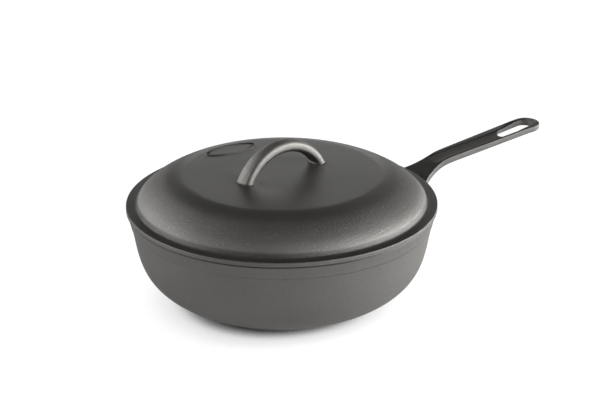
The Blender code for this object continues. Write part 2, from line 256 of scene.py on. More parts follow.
def combine(body, tool, operation):
    """Join or cut a body with a tool, and drop the tool."""
    modifier = body.modifiers.new(operation.title(), "BOOLEAN")
    modifier.operation = operation
    modifier.solver = "EXACT"
    modifier.object = tool
    bpy.context.view_layer.update()
    evaluated = body.evaluated_get(bpy.context.evaluated_depsgraph_get())
    result = bpy.data.meshes.new_from_object(evaluated)
    result.name = body.name
    body.modifiers.clear()
    body.data = result
    bpy.data.objects.remove(tool, do_unlink=True)


# ---- The pan's body

def wall_curve():
    """Outside of the wall, from the rim's top to the edge of the flat base."""
    rim = Vector((RIM_RADIUS, RIM_HEIGHT))
    base = Vector((BASE_RADIUS, 0.0))
    lead = rim - Vector((math.sin(WALL_LEAN), math.cos(WALL_LEAN))) * WALL_REACH
    arrive = base + Vector((math.cos(BELLY_SLOPE), math.sin(BELLY_SLOPE))) * BELLY_REACH
    return bezier(rim, lead, arrive, base, CURVE_STEPS)


def radius_at(outline, height):
    """Radius of an outline at a height, by the straight run that spans it."""
    for upper, lower in zip(outline, outline[1:]):
        if lower.y <= height <= upper.y:
            share = (upper.y - height) / (upper.y - lower.y)
            return upper.x + (lower.x - upper.x) * share
    return outline[0].x


WALL_CURVE = wall_curve()
INNER_CURVE = offset_inwards(WALL_CURVE, WALL)
BAND_FOOT = RIM_HEIGHT - BAND_HEIGHT


def outer_radius(height):
    """Outside of the wall at a height, with the step under the band."""
    radius = radius_at(WALL_CURVE, min(height, RIM_HEIGHT))
    below = smooth_step((BAND_FOOT - height) / BAND_STEP_DROP)
    return radius - BAND_STEP * below * min(height / BAND_FOOT, 1.0)


def pan_outline():
    """Outline of the pan's body: up the inside, over the rim, down the outside, to the axis."""
    rim_outer = Vector((RIM_RADIUS, RIM_HEIGHT))
    rim_inner = Vector((radius_at(INNER_CURVE, RIM_HEIGHT), RIM_HEIGHT))
    floor_edge = Vector((radius_at(INNER_CURVE, BASE_THICKNESS), BASE_THICKNESS))
    floor_middle = Vector((0, BASE_THICKNESS))
    inside = [p for p in INNER_CURVE if p.y < RIM_HEIGHT - 2 * RIM_ROUND]
    inside = [p for p in inside if (p - floor_edge).length > FLOOR_ROUND and p.y > BASE_THICKNESS]
    band = [p for p in WALL_CURVE if BAND_FOOT < p.y < RIM_HEIGHT - 2 * RIM_ROUND]
    drops = [i / ROUND_STEPS for i in range(ROUND_STEPS + 1)]
    step = [BAND_FOOT - BAND_STEP_DROP * share for share in drops]
    below = [p.y for p in WALL_CURVE if BASE_ROUND * BASE_CUT < p.y < step[-1]]
    outside = [Vector((outer_radius(height), height)) for height in step + below]
    base_edge = Vector((BASE_RADIUS, 0.0))
    outside = [p for p in outside if (p - base_edge).length > BASE_ROUND]
    points = [floor_middle]
    points += rounded_corner(floor_middle, floor_edge, inside[-1], FLOOR_ROUND)
    points += reversed(inside)
    points += rounded_corner(inside[0], rim_inner, rim_outer, RIM_ROUND)
    points += rounded_corner(rim_inner, rim_outer, band[0], RIM_ROUND)
    points += band + outside
    points += rounded_corner(outside[-1], base_edge, Vector((0, 0)), BASE_ROUND)
    points += [Vector((0, 0))]
    return points


# ---- The long handle

def handle_top(s):
    """Height of the handle's long edges at a distance s from the rim."""
    ease = HANDLE_BEND_EASE
    bend = ease * math.log1p(math.exp((s - HANDLE_BEND) / ease))
    bend -= ease * math.log1p(math.exp(-HANDLE_BEND / ease))
    rise = HANDLE_ROOT_SLOPE * s + (HANDLE_SLOPE - HANDLE_ROOT_SLOPE) * bend
    levelling = max(0.0, (s - HANDLE_LEVEL_START) / (HANDLE_REACH - HANDLE_LEVEL_START))
    return RIM_HEIGHT - HANDLE_DROP + rise - HANDLE_TIP_DROOP * levelling * levelling


def handle_half_width(s):
    """Half of the handle's width: a taper from tip to rim, and a flare into the rim."""
    width = HANDLE_WIDTH + (HANDLE_TIP_WIDTH - HANDLE_WIDTH) * s / TIP_CENTRE
    flare = max(0.0, 1.0 - s / HANDLE_FLARE_LENGTH)
    return width / 2 + HANDLE_FLARE * flare * flare


TIP_CENTRE = HANDLE_REACH - HANDLE_TIP_ROUND
SLOT_FAR = HANDLE_REACH - SLOT_TIP_WALL - SLOT_FAR_RADIUS
SLOT_NEAR = SLOT_FAR + SLOT_FAR_RADIUS - SLOT_LENGTH + SLOT_NEAR_RADIUS


def trough_dip(s, across):
    """Depth of the scooped top at a place: a rounded end near the rim, and a fade past the slot."""
    hollow = handle_half_width(s) - TROUGH_RIM
    before_round = max(0.0, TROUGH_START + hollow - s)
    out = math.hypot(across, before_round) / hollow
    growth = smooth_step((s - TROUGH_START) / (SLOT_NEAR - TROUGH_START))
    depth = TROUGH_FIRST_DEPTH + (TROUGH_DEPTH - TROUGH_FIRST_DEPTH) * growth
    depth += (TROUGH_END_DEPTH - depth) * smooth_step((s - SLOT_NEAR) / (SLOT_FAR - SLOT_NEAR))
    return depth * max(0.0, 1.0 - out**TROUGH_FLATNESS)


def underside(s, across):
    """Height of the handle's slightly bellied underside."""
    share = min(abs(across) / handle_half_width(s), 1.0)
    deepening = max(0.0, 1.0 - s / ROOT_DEEPENING_LENGTH)
    edge = HANDLE_EDGE + (HANDLE_TIP_EDGE - HANDLE_EDGE) * s / TIP_CENTRE
    low = handle_top(s) - edge - ROOT_DEEPENING * deepening * deepening
    belly = HANDLE_BELLY * (1 - (s / HANDLE_REACH) ** 2)
    return low - belly * (1 - share * share)


def handle_section(s, half):
    """Half a section of the handle as (outward, height) points, from its underside to its top."""
    top = handle_top(s)
    points = []
    for i in range(BELLY_STEPS):
        outward = i / BELLY_STEPS * half
        points.append(Vector((outward, underside(s, outward))))
    lower = Vector((half, underside(s, half)))
    upper = Vector((half, top))
    border = Vector((half - TROUGH_RIM, top))
    points += rounded_corner(points[-1], lower, upper, HANDLE_LOWER_ROUND)
    points += rounded_corner(lower, upper, border, HANDLE_UPPER_ROUND)
    for i in range(TROUGH_STEPS + 1):
        outward = (1 - i / TROUGH_STEPS) * border.x
        points.append(Vector((outward, top - trough_dip(s, outward))))
    return points


def section_normals(section):
    """Outward directions of a half section's points."""
    normals = []
    for before, after in zip(section, section[2:]):
        along = (after - before).normalized()
        normals.append(Vector((along.y, -along.x)))
    return [Vector((0, -1))] + normals + [Vector((0, 1))]


def wall_reach(across, height):
    """Distance along X from the pan's axis to the outside of its wall."""
    return math.sqrt(outer_radius(height) ** 2 - across**2)


def fillet_radius(normal):
    """Size of the fillet between handle and wall, by the side that it is on."""
    if normal.y > 0:
        return ROOT_FILLET_SIDE + (ROOT_FILLET_TOP - ROOT_FILLET_SIDE) * normal.y
    return ROOT_FILLET_SIDE - (ROOT_FILLET_UNDER - ROOT_FILLET_SIDE) * normal.y


def root_ring(clear, spread):
    """Half section that stands off the wall by a share of its fillet, and is spread by another."""
    size = len(handle_section(0.0, handle_half_width(0.0)))
    ring = []
    for i in range(size):
        s = 0.0
        for _ in range(ROOT_SEARCH_STEPS):
            section = handle_section(s, handle_half_width(s))
            normal = section_normals(section)[i]
            radius = fillet_radius(normal)
            s = wall_reach(section[i].x, section[i].y) + clear * radius - RIM_RADIUS
        place = section[i] + normal * spread * radius
        ring.append(Vector((wall_reach(place.x, place.y) + clear * radius, place.x, place.y)))
    return ring


def root_rings():
    """Half sections from inside the wall out through the fillet."""
    sunk = root_ring(0.0, ROOT_SINK_SPREAD)
    rings = [[Vector((p.x - depth, p.y, p.z)) for p in sunk] for depth in (WALL / 2, RIM_ROUND / 2)]
    for i in range(ROOT_STEPS + 1):
        turn = ROOT_FILLET_TURN * (1 - i / ROOT_STEPS)
        rings.append(root_ring(1 - math.sin(turn), 1 - math.cos(turn)))
    return rings


def make_handle():
    """The long handle with its slot, its root sunk in the pan's wall."""
    start = ROOT_FILLET_SIDE + RIM_ROUND
    run = root_rings()
    for i in range(HANDLE_STEPS + 1):
        s = start + (TIP_CENTRE - start) * i / HANDLE_STEPS
        section = handle_section(s, handle_half_width(s))
        run.append([Vector((RIM_RADIUS + s, p.x, p.y)) for p in section])
    half = handle_half_width(TIP_CENTRE)
    tip = []
    for i in range(1, TIP_STEPS):
        angle = math.pi / 2 - math.pi * i / TIP_STEPS
        across, along = math.sin(angle), math.cos(angle) * HANDLE_TIP_ROUND / half
        rise = handle_top(TIP_CENTRE + HANDLE_TIP_ROUND * math.cos(angle)) - handle_top(TIP_CENTRE)
        column = []
        for p in handle_section(TIP_CENTRE, half):
            reach = RIM_RADIUS + TIP_CENTRE + p.x * along
            column.append(Vector((reach, p.x * across, p.y + rise * p.x / half)))
        tip.append(column)
    other = [[Vector((p.x, -p.y, p.z)) for p in column] for column in reversed(run)]
    builder = bmesh.new()
    grid = [[builder.verts.new(p) for p in column] for column in run + tip + other]
    for left, right in zip(grid, grid[1:]):
        for i in range(len(left) - 1):
            builder.faces.new((left[i], left[i + 1], right[i + 1], right[i]))
    builder.faces.new(grid[0] + list(reversed(grid[-1])))
    handle = solid("handle", builder)
    combine(handle, make_slot_cutter(), "DIFFERENCE")
    return handle


def slot_outline(spread):
    """Outline of the hanging slot, a little larger all round by spread."""
    near, far = SLOT_NEAR_RADIUS + spread, SLOT_FAR_RADIUS + spread
    lean = math.asin((far - near) / (SLOT_FAR - SLOT_NEAR))
    points = []
    for centre, radius, start, turn in (
        (SLOT_FAR, far, math.pi / 2 + lean, math.pi + 2 * lean),
        (SLOT_NEAR, near, -math.pi / 2 - lean, math.pi - 2 * lean),
    ):
        for i in range(SLOT_STEPS + 1):
            angle = start - turn * i / SLOT_STEPS
            points.append((centre + radius * math.cos(angle), radius * math.sin(angle)))
    return points


def make_slot_cutter():
    """Plug of the hanging slot, flared where it passes the handle's faces to round their edges."""
    rings = []
    turns = [SLOT_ROUND_TURN * i / ROUND_STEPS for i in range(ROUND_STEPS + 1)]
    rounding = [(SLOT_ROUND * (1 - math.cos(t)), SLOT_ROUND * (1 - math.sin(t))) for t in turns]
    past = 2 * HANDLE_UPPER_ROUND
    for spread, depth in [(rounding[-1][0], -past)] + rounding[::-1]:
        ring = [(s, y, underside(s, y) + depth) for s, y in slot_outline(spread)]
        rings.append([Vector((RIM_RADIUS + s, y, z)) for s, y, z in ring])
    for spread, depth in rounding + [(rounding[-1][0], -past)]:
        ring = [(s, y, handle_top(s) - trough_dip(s, y) - depth) for s, y in slot_outline(spread)]
        rings.append([Vector((RIM_RADIUS + s, y, z)) for s, y, z in ring])
    return tube("slot_cutter", rings, closed=False)


def make_pan():
    """The pan: body and long handle in one casting."""
    pan = turned("pan_casting", pan_outline())
    combine(pan, make_handle(), "UNION")
    shade(pan)
    return pan


# ---- The lid

FLANGE_RADIUS = RIM_RADIUS + FLANGE_OVERHANG
FLANGE_TOP = LID_GAP + FLANGE_THICKNESS
DOME_RADIUS = FLANGE_RADIUS - FLANGE_WIDTH
CROWN_RADIUS = DOME_RADIUS - SHOULDER_WIDTH
CROWN_TOP = RIM_HEIGHT + FLANGE_TOP + DOME_RISE
GROOVE_INSET = OVAL_RIM_WIDTH / 2 + OVAL_GROOVE_RADIUS / 2


def crown_height(radius):
    """Height of the nearly flat crown, in the lid's own frame."""
    share = radius / CROWN_RADIUS
    return FLANGE_TOP + DOME_RISE - DOME_CROWNING * share * share


def dome_curve():
    """Outside of the dome, from the crown's edge down to its foot on the flange."""
    foot = Vector((DOME_RADIUS, FLANGE_TOP))
    crown = Vector((CROWN_RADIUS, crown_height(CROWN_RADIUS)))
    fall = 2 * DOME_CROWNING / CROWN_RADIUS
    lead = crown + Vector((1, -fall)) * DOME_SHOULDER_REACH
    arrive = foot + Vector((0, DOME_FOOT_REACH))
    return bezier(crown, lead, arrive, foot, CURVE_STEPS)


DOME_CURVE = dome_curve()


def dome_height(radius):
    """Height of the lid's outside over its crown and shoulder."""
    if radius <= CROWN_RADIUS:
        return crown_height(radius)
    for inner, outer in zip(DOME_CURVE, DOME_CURVE[1:]):
        if inner.x <= radius <= outer.x:
            share = (radius - inner.x) / (outer.x - inner.x)
            return inner.y + (outer.y - inner.y) * share
    return FLANGE_TOP


def lid_outline():
    """Outline of the lid's body: down the outside, round the flange and lip, up the inside."""
    lip_top = radius_at(INNER_CURVE, RIM_HEIGHT) - LIP_CLEARANCE
    lip_bottom = radius_at(INNER_CURVE, RIM_HEIGHT - LIP_DEPTH) - LIP_CLEARANCE
    lip_inner = lip_bottom - LIP_THICKNESS
    foot = DOME_CURVE[-1]
    flange_upper = Vector((FLANGE_RADIUS, FLANGE_TOP))
    flange_lower = Vector((FLANGE_RADIUS, LID_GAP))
    lip_root = Vector((lip_top, LID_GAP))
    lip_outer_foot = Vector((lip_bottom, LID_GAP - LIP_DEPTH))
    lip_inner_foot = Vector((lip_inner, LID_GAP - LIP_DEPTH))
    dome = [p for p in DOME_CURVE if p.y > FLANGE_TOP + DOME_FOOT_CUT * DOME_FOOT_FILLET]
    inside = offset_inwards(DOME_CURVE, LID_WALL)
    inside = [p for p in inside if p.y > FLANGE_TOP and p.x < lip_inner]
    crown = [CROWN_RADIUS * i / CROWN_STEPS for i in range(CROWN_STEPS)]
    points = [Vector((radius, crown_height(radius))) for radius in crown]
    points += dome
    points += rounded_corner(dome[-1], foot, flange_upper, DOME_FOOT_FILLET)
    points += rounded_corner(foot, flange_upper, flange_lower, FLANGE_ROUND)
    points += rounded_corner(flange_upper, flange_lower, lip_root, FLANGE_ROUND)
    points += rounded_corner(flange_lower, lip_root, lip_outer_foot, FLANGE_ROUND / 2)
    points += rounded_corner(lip_root, lip_outer_foot, lip_inner_foot, FLANGE_ROUND)
    points += rounded_corner(lip_outer_foot, lip_inner_foot, inside[-1], FLANGE_ROUND)
    points += reversed(inside)
    points += [Vector((radius, crown_height(radius) - LID_WALL)) for radius in reversed(crown)]
    return points


LOOP_RADIUS = (LOOP_HALF_SPAN**2 + LOOP_RISE**2) / (2 * LOOP_RISE)
LOOP_CENTRE = crown_height(LOOP_HALF_SPAN) + LOOP_RISE - LOOP_RADIUS
LOOP_HALF_TURN = math.asin(LOOP_HALF_SPAN / LOOP_RADIUS)


def squared(share):
    """A sine or cosine bent so that an oval made with it gets flatter faces."""
    return math.copysign(abs(share) ** (2 / LOOP_SQUARENESS), share)


def loop_ring(angle, flare):
    """Points round the bar where its middle line stands at an angle from the loop's top."""
    share = (angle / LOOP_HALF_TURN) ** 2
    bar_height = LOOP_BAR_HEIGHT + (LOOP_FOOT_HEIGHT - LOOP_BAR_HEIGHT) * share
    bar_width = LOOP_BAR_WIDTH + (LOOP_FOOT_WIDTH - LOOP_BAR_WIDTH) * share
    out = Vector((math.sin(angle), 0, math.cos(angle)))
    middle = Vector((0, 0, LOOP_CENTRE)) + out * LOOP_RADIUS
    ring = []
    for i in range(BAR_SIDES):
        turn = math.tau * i / BAR_SIDES
        from_ridge = min(turn, math.tau - turn) / LOOP_RIDGE_TURN
        beside_ridge = 1 - math.exp(-from_ridge * from_ridge)
        height = (bar_height / 2 + flare) * squared(math.cos(turn))
        height -= LOOP_RIDGE * max(math.cos(turn), 0.0) * beside_ridge
        width = (bar_width / 2 + flare) * squared(math.sin(turn))
        ring.append(middle + out * height + Vector((0, width, 0)))
    return ring


def lowered_to(ring, angle, level):
    """A ring of the bar slid along the bar's direction until all its points are at one level."""
    along = Vector((math.cos(angle), 0, -math.sin(angle)))
    return [point + along * ((level - point.z) / along.z) for point in ring]


def loop_foot(angle):
    """Rings of one foot, from inside the lid's wall up to where its fillet ends."""
    surface = crown_height(LOOP_HALF_SPAN)
    root = loop_ring(angle, LOOP_FOOT_FLARE)
    rings = [lowered_to(root, angle, surface - LID_WALL / 2)]
    rings.append(lowered_to(root, angle, surface - LOOP_RIDGE))
    for i in range(ROOT_STEPS + 1):
        turn = LOOP_FOOT_TURN + (math.pi / 2 - LOOP_FOOT_TURN) * i / ROOT_STEPS
        ring = loop_ring(angle, LOOP_FOOT_FLARE * (1 - math.sin(turn)))
        rings.append(lowered_to(ring, angle, surface + LOOP_FOOT_FLARE * (1 - math.cos(turn))))
    return rings


def make_loop():
    """The loop: an arch of rounded bar with a small fillet round each foot."""
    fillet_top = crown_height(LOOP_HALF_SPAN) + LOOP_FOOT_FLARE
    angles = [LOOP_HALF_TURN * (2 * i / LOOP_STEPS - 1) for i in range(1, LOOP_STEPS)]
    arch = [loop_ring(angle, 0.0) for angle in angles]
    arch = [ring for ring in arch if min(p.z for p in ring) > fillet_top]
    rings = loop_foot(-LOOP_HALF_TURN) + arch + loop_foot(LOOP_HALF_TURN)[::-1]
    return tube("loop", rings, closed=False)


def oval_rings(half_length, half_width, profile):
    """Rings of a bar along an oval on the dome; its profile has (outward, upward) points."""
    rings = []
    placed = Matrix.Translation((OVAL_SHIFT, OVAL_CENTRE, 0)) @ Matrix.Rotation(OVAL_TURN, 4, "Z")
    for i in range(OVAL_STEPS):
        turn = math.tau * i / OVAL_STEPS
        across, along = math.cos(turn), math.sin(turn)
        middle = Vector((half_length * across, half_width * along, 0))
        outward = Vector((half_width * across, half_length * along, 0)).normalized()
        ring = []
        for out, up in profile:
            point = placed @ (middle + outward * out)
            point.z = dome_height(math.hypot(point.x, point.y)) + up
            ring.append(point)
        rings.append(ring)
    return rings


def make_oval_rim():
    """Raised rim of the plain oval."""
    half, foot, least = OVAL_RIM_WIDTH / 2, -OVAL_RIM_HEIGHT / 4, OVAL_RIM_HEIGHT / 8
    profile = [(-half, -LID_WALL / 2), (half, -LID_WALL / 2), (half, foot)]
    for i in range(OVAL_RIM_STEPS + 1):
        turn = math.pi * i / OVAL_RIM_STEPS
        out = half * OVAL_RIM_TOP_WIDTH * math.cos(turn)
        lift = OVAL_RIM_HEIGHT * math.sin(turn) ** OVAL_RIM_FULLNESS
        profile.append((out, max(lift, least)))
    profile.append((-half, foot))
    return tube("oval_rim", oval_rings(OVAL_HALF_LENGTH, OVAL_HALF_WIDTH, profile), closed=True)


def make_oval_groove():
    """Cutter of the fine groove inside the oval's rim."""
    profile = []
    for i in range(OVAL_GROOVE_SIDES):
        turn = math.tau * i / OVAL_GROOVE_SIDES
        profile.append((OVAL_GROOVE_RADIUS * math.cos(turn), OVAL_GROOVE_RADIUS * math.sin(turn)))
    rings = oval_rings(OVAL_HALF_LENGTH - GROOVE_INSET, OVAL_HALF_WIDTH - GROOVE_INSET, profile)
    return tube("oval_groove", rings, closed=True)


def make_lid():
    """The lid: dome, flange, locating lip, loop and plain oval in one casting."""
    lid = turned("lid_casting", lid_outline())
    combine(lid, make_loop(), "UNION")
    combine(lid, make_oval_rim(), "UNION")
    combine(lid, make_oval_groove(), "DIFFERENCE")
    shade(lid)
    seated = Matrix.Translation((0.0, 0.0, RIM_HEIGHT)) @ Matrix.Rotation(LID_TURN, 4, "Z")
    lid.data.transform(seated)
    return lid


# ---- Finishes

class Field:
    """A value that varies over a surface: a node's output that takes part in sums and products."""

    def __init__(self, finish, socket):
        self.finish = finish
        self.socket = socket

    def __add__(self, other):
        return self.finish.maths("ADD", self, other)

    def __radd__(self, other):
        return self.finish.maths("ADD", other, self)

    def __sub__(self, other):
        return self.finish.maths("SUBTRACT", self, other)

    def __rsub__(self, other):
        return self.finish.maths("SUBTRACT", other, self)

    def __mul__(self, other):
        return self.finish.maths("MULTIPLY", self, other)

    def __rmul__(self, other):
        return self.finish.maths("MULTIPLY", other, self)

    def __truediv__(self, other):
        return self.finish.maths("DIVIDE", self, other)

    def __rtruediv__(self, other):
        return self.finish.maths("DIVIDE", other, self)


class Finish:
    """The nodes of a material, or of the surroundings, under construction."""

    def __init__(self, owner):
        owner.use_nodes = True
        self.owner = owner
        self.tree = owner.node_tree
        self.tree.nodes.clear()

    def node(self, kind, settings, sockets, output=0):
        """A node of a kind, with its settings first, then the values or links of its sockets."""
        item = self.tree.nodes.new("ShaderNode" + kind)
        for key, value in settings.items():
            setattr(item, key, value)
        for key, value in sockets.items():
            if isinstance(value, Field):
                self.tree.links.new(value.socket, item.inputs[key])
            else:
                item.inputs[key].default_value = value
        return Field(self, item.outputs[output])

    def maths(self, operation, *values):
        return self.node("Math", {"operation": operation}, dict(enumerate(values)))

    def coordinates(self, which):
        return self.node("TexCoord", {}, {}, output=which)

    def part(self, vector, axis):
        return self.node("SeparateXYZ", {}, {"Vector": vector}, output=axis)

    def from_axis(self, place):
        """Distance of a place from the pan's upright axis."""
        flat = self.node("VectorMath", {"operation": "MULTIPLY"}, {0: place, 1: (1.0, 1.0, 0.0)})
        return self.node("VectorMath", {"operation": "LENGTH"}, {0: flat}, output="Value")

    def along(self, vector, way):
        """How far a vector reaches along a way."""
        return self.node("VectorMath", {"operation": "DOT_PRODUCT"}, {0: vector, 1: way}, "Value")

    def rise(self, value, low, high, start=0.0, end=1.0):
        """From start at low to end at high, with soft ends."""
        settings = {"interpolation_type": "SMOOTHSTEP"}
        sockets = {"Value": value, "From Min": low, "From Max": high}
        sockets.update({"To Min": start, "To Max": end})
        return self.node("MapRange", settings, sockets)

    def noise(self, place, size, detail, roughness):
        """Cloudy pattern with features of about a size in metres."""
        sockets = {"Vector": place, "Scale": 1.0 / size, "Detail": detail, "Roughness": roughness}
        return self.node("TexNoise", {}, sockets)

    def mix(self, factor, first, second):
        """Colour between two colours, by the sockets that the node shows for colours."""
        settings = {"data_type": "RGBA"}
        return self.node("Mix", settings, {0: factor, 6: first, 7: second}, output=2)

    def show(self, shader, kind="OutputMaterial"):
        """Let a shader show, and give back the material or the surroundings."""
        end = self.tree.nodes.new("ShaderNode" + kind)
        self.tree.links.new(shader.socket, end.inputs["Surface"])
        return self.owner


BLACK = (0.0, 0.0, 0.0, 1.0)
WHITE = (1.0, 1.0, 1.0, 1.0)
IRON_WARMTH = 0.03          # what a warm grey gains in red
BLUE_LOSS = 1.6             # and how many times that it loses in blue


def grey(level, warmth=IRON_WARMTH):
    """A grey as a linear colour, slightly warm unless told otherwise."""
    return (level * (1 + warmth), level, level * (1 - BLUE_LOSS * warmth), 1.0)


# Patterns in the iron: size in metres, steps of finer detail and how much these count.
PATTERNS = {
    "grain": (0.0009, 2.0, 0.60),
    "sand": (0.0019, 2.0, 0.50),
    "speck": (0.0017, 1.0, 0.50),
    "swell": (0.018, 3.0, 0.50),
    "cloud": (0.032, 4.0, 0.62),
}
PATTERN_MIDDLE = 0.5
SPECK_START = (0.60, 0.74)  # only the pattern's peaks are specks
GRAIN_SHARE = 0.6           # of the fine relief; sand is the rest
SWELL_SHARE = 0.2
BUMP_DEPTH = 0.0005
IRON_SPECULAR = 0.8

# A level of the bare iron, and what each pattern or zone adds to it. Dull is the light that the
# iron scatters, and sheen is the light that it mirrors.
TONE = (0.77, {"cloud": 0.20, "sand": 0.16, "grain": 0.10})
ROUGHNESS_SPREAD = {"grain": 0.14, "cloud": 0.10}
# The handle's upward face is darker by painted shade, and the floor of its trough lighter by
# painted light.
PAN_LOOK = {
    "dull": (0.108, {"beyond": -0.005, "handle_top": -0.074, "trough_top": 0.085}),
    "sheen": (0.080, {"beyond": -0.043}),
    "roughness": (0.48, {}),
    "coarseness": (0.7, {"trough": 0.8}),
    "specks": (0.14, {}),
}
# On the lid, the lighter turn, shoulder, lower shoulder and flange edge are partly the iron's own
# tone and partly painted highlight;
# the dark flat ring is partly its own tone and partly painted shade.
LID_LOOK = {
    "dull": (0.050, {
        "shoulder": 0.022, "lower": 0.040, "ring": -0.070, "edge": 0.110, "loop": -0.015,
    }),
    "sheen": (0.085, {"turn": 0.060, "lower": -0.006, "ring": -0.060, "loop": 0.150}),
    "roughness": (0.42, {"turn": 0.10, "ring": -0.04, "loop": 0.14}),
    "coarseness": (0.3, {"turn": 1.05, "ring": -0.75, "loop": 1.0}),
    "specks": (0.06, {"turn": 0.28}),
}

# Where the zones start and where they are full.
HANDLE_SIDE = (-0.03, 0.06)                     # along X
BEYOND_RADII = (RIM_RADIUS, RIM_RADIUS + 0.0040)
# Where the handle faces up: painted shade on its top, painted light in its trough.
HANDLE_FACING_UP = (0.5, 0.95)                  # upward part of the surface's direction
TROUGH_SIDES = (0.0074, 0.0056)                 # from the handle's middle line
TROUGH_RADII = (RIM_RADIUS + TROUGH_START, RIM_RADIUS + TROUGH_START + 0.0040)
PAN_SEAM_RADII = (RIM_RADIUS - 0.0014, RIM_RADIUS - 0.0006)
PAN_SEAM_HEIGHTS = (RIM_HEIGHT - 0.0012, RIM_HEIGHT - 0.0004)
PARTING_HEIGHT = BAND_FOOT - BAND_STEP_DROP / 2
PARTING_WIDTH = (0.0007, 0.0002)                # above and below that height
PARTING_RADII = (RIM_RADIUS - 0.0060, RIM_RADIUS - 0.0050)
LID_RADII = {
    "turn": (DOME_RADIUS - 0.0320, DOME_RADIUS - 0.0200),
    "shoulder": (DOME_RADIUS - 0.0200, DOME_RADIUS - 0.0100),
    "lower": (DOME_RADIUS - 0.0100, DOME_RADIUS - 0.0040),
    "foot": (DOME_RADIUS - 0.0022, DOME_RADIUS - 0.0004),
    "ring": (DOME_RADIUS + 0.0002, DOME_RADIUS + 0.0040),
    "edge": (FLANGE_RADIUS - 0.0008, FLANGE_RADIUS - 0.0002),
}
LOOP_HEIGHTS = (CROWN_TOP, CROWN_TOP + 0.0020)
LOOP_FACING_DOWN = (0.0, -0.4)
LID_SEAM_RADII = (FLANGE_RADIUS - 0.0016, FLANGE_RADIUS - 0.0008)
LID_SEAM_HEIGHTS = (RIM_HEIGHT + LID_GAP + 0.0010, RIM_HEIGHT + LID_GAP + 0.0003)
GROOVE_SHADE_INNER = (0.76, 0.90)                      # squared shares of the groove's own oval
GROOVE_SHADE_OUTER = (1.24, 1.06)

# Painted shade at the seam, parting line, dome's foot, oval's groove and under the loop, as shares
# of light.
SEAM_DARK, SEAM_LIGHTER = 0.75, 0.55            # the second: less on the handle's side
PARTING_DARK, PARTING_DARKER = 0.15, 0.40       # the second: more on the handle's side
FOOT_DARK, FOOT_LIGHTER = 0.60, 0.5             # the second: less where the flat ring starts
GROOVE_SHADE = 0.45
UNDER_LOOP_DARK = 0.65


def layered(level, amounts, zones):
    """A level to which each zone adds its amount."""
    return sum((amount * zones[name] for name, amount in amounts.items()), level)


def measures(finish):
    """Place, radius, height, how far it faces up, and how far it is on the handle's side."""
    place = finish.coordinates("Object")
    facing = finish.part(finish.coordinates("Normal"), "Z")
    handle_side = finish.rise(finish.part(place, "X"), *HANDLE_SIDE)
    return place, finish.from_axis(place), finish.part(place, "Z"), facing, handle_side


def seam_shade(seam, handle_side):
    """Share of light left in the seam between lid and rim, where shade is painted."""
    return 1.0 - (SEAM_DARK - SEAM_LIGHTER * handle_side) * seam


def cast_surface(finish, place, look, zones, shade):
    """Cast iron by a look's levels, with its patterns, grain and shade."""
    level = {name: layered(*values, zones) for name, values in look.items()}
    pattern = {name: finish.noise(place, *values) for name, values in PATTERNS.items()}
    speck = finish.rise(pattern["speck"], *SPECK_START)
    dull, sheen = level["dull"] * shade, level["sheen"] * shade
    tone = layered(*TONE, pattern) + level["specks"] * speck
    rough = level["roughness"]
    for name, spread in ROUGHNESS_SPREAD.items():
        rough = rough + spread * (pattern[name] - PATTERN_MIDDLE)
    fine = GRAIN_SHARE * pattern["grain"] + (1 - GRAIN_SHARE) * pattern["sand"]
    height = level["coarseness"] * fine + SWELL_SHARE * pattern["swell"]
    bump = {"Strength": 1.0, "Distance": BUMP_DEPTH, "Height": height}
    shader = finish.node("BsdfPrincipled", {}, {
        "Base Color": finish.mix((dull + sheen) * tone, BLACK, grey(1.0)),
        "Roughness": rough,
        "Metallic": sheen / (dull + sheen),
        "Specular IOR Level": IRON_SPECULAR,
        "Normal": finish.node("Bump", {}, bump),
    })
    return finish.show(shader)


def pan_iron():
    """Seasoned iron of the pan: even on the body; painted shade on the handle's top, painted light
    in its trough.
    """
    finish = Finish(bpy.data.materials.new("pan_iron"))
    place, radius, height, facing, handle_side = measures(finish)
    beyond = finish.rise(radius, *BEYOND_RADII)
    upward = finish.rise(facing, *HANDLE_FACING_UP)
    aside = finish.maths("ABSOLUTE", finish.part(place, "Y"))
    trough = beyond * finish.rise(aside, *TROUGH_SIDES) * finish.rise(radius, *TROUGH_RADII)
    zones = {
        "beyond": beyond,
        "handle_top": beyond * upward,
        "trough": trough,
        "trough_top": trough * upward,
    }
    # Painted shade in the seam under the lid, weaker on the handle's side.
    outside = finish.rise(radius, *PAN_SEAM_RADII) * (1.0 - beyond)
    shade = seam_shade(outside * finish.rise(height, *PAN_SEAM_HEIGHTS), handle_side)
    # Painted shade along the parting line under the band's step, stronger on the handle's side.
    from_parting = finish.maths("ABSOLUTE", height - PARTING_HEIGHT)
    parting = finish.rise(from_parting, *PARTING_WIDTH) * finish.rise(radius, *PARTING_RADII)
    parting = parting * (1.0 - beyond)
    shade = shade * (1.0 - (PARTING_DARK + PARTING_DARKER * handle_side) * parting)
    return cast_surface(finish, place, PAN_LOOK, zones, shade)


def oval_groove_shade(finish, place):
    """How much of a place lies in the groove inside the oval's rim, where shade is painted."""
    lid_turn = Matrix.Rotation(LID_TURN, 3, "Z")
    oval_turn = lid_turn @ Matrix.Rotation(OVAL_TURN, 3, "Z")
    middle = lid_turn @ Vector((OVAL_SHIFT, OVAL_CENTRE, 0))
    shares = []
    for axis, half in ((Vector((1, 0, 0)), OVAL_HALF_LENGTH), (Vector((0, 1, 0)), OVAL_HALF_WIDTH)):
        way = oval_turn @ axis / (half - GROOVE_INSET)
        share = finish.along(place, way) - middle.dot(way)
        shares.append(share * share)
    out = shares[0] + shares[1]
    return finish.rise(out, *GROOVE_SHADE_INNER) * finish.rise(out, *GROOVE_SHADE_OUTER)


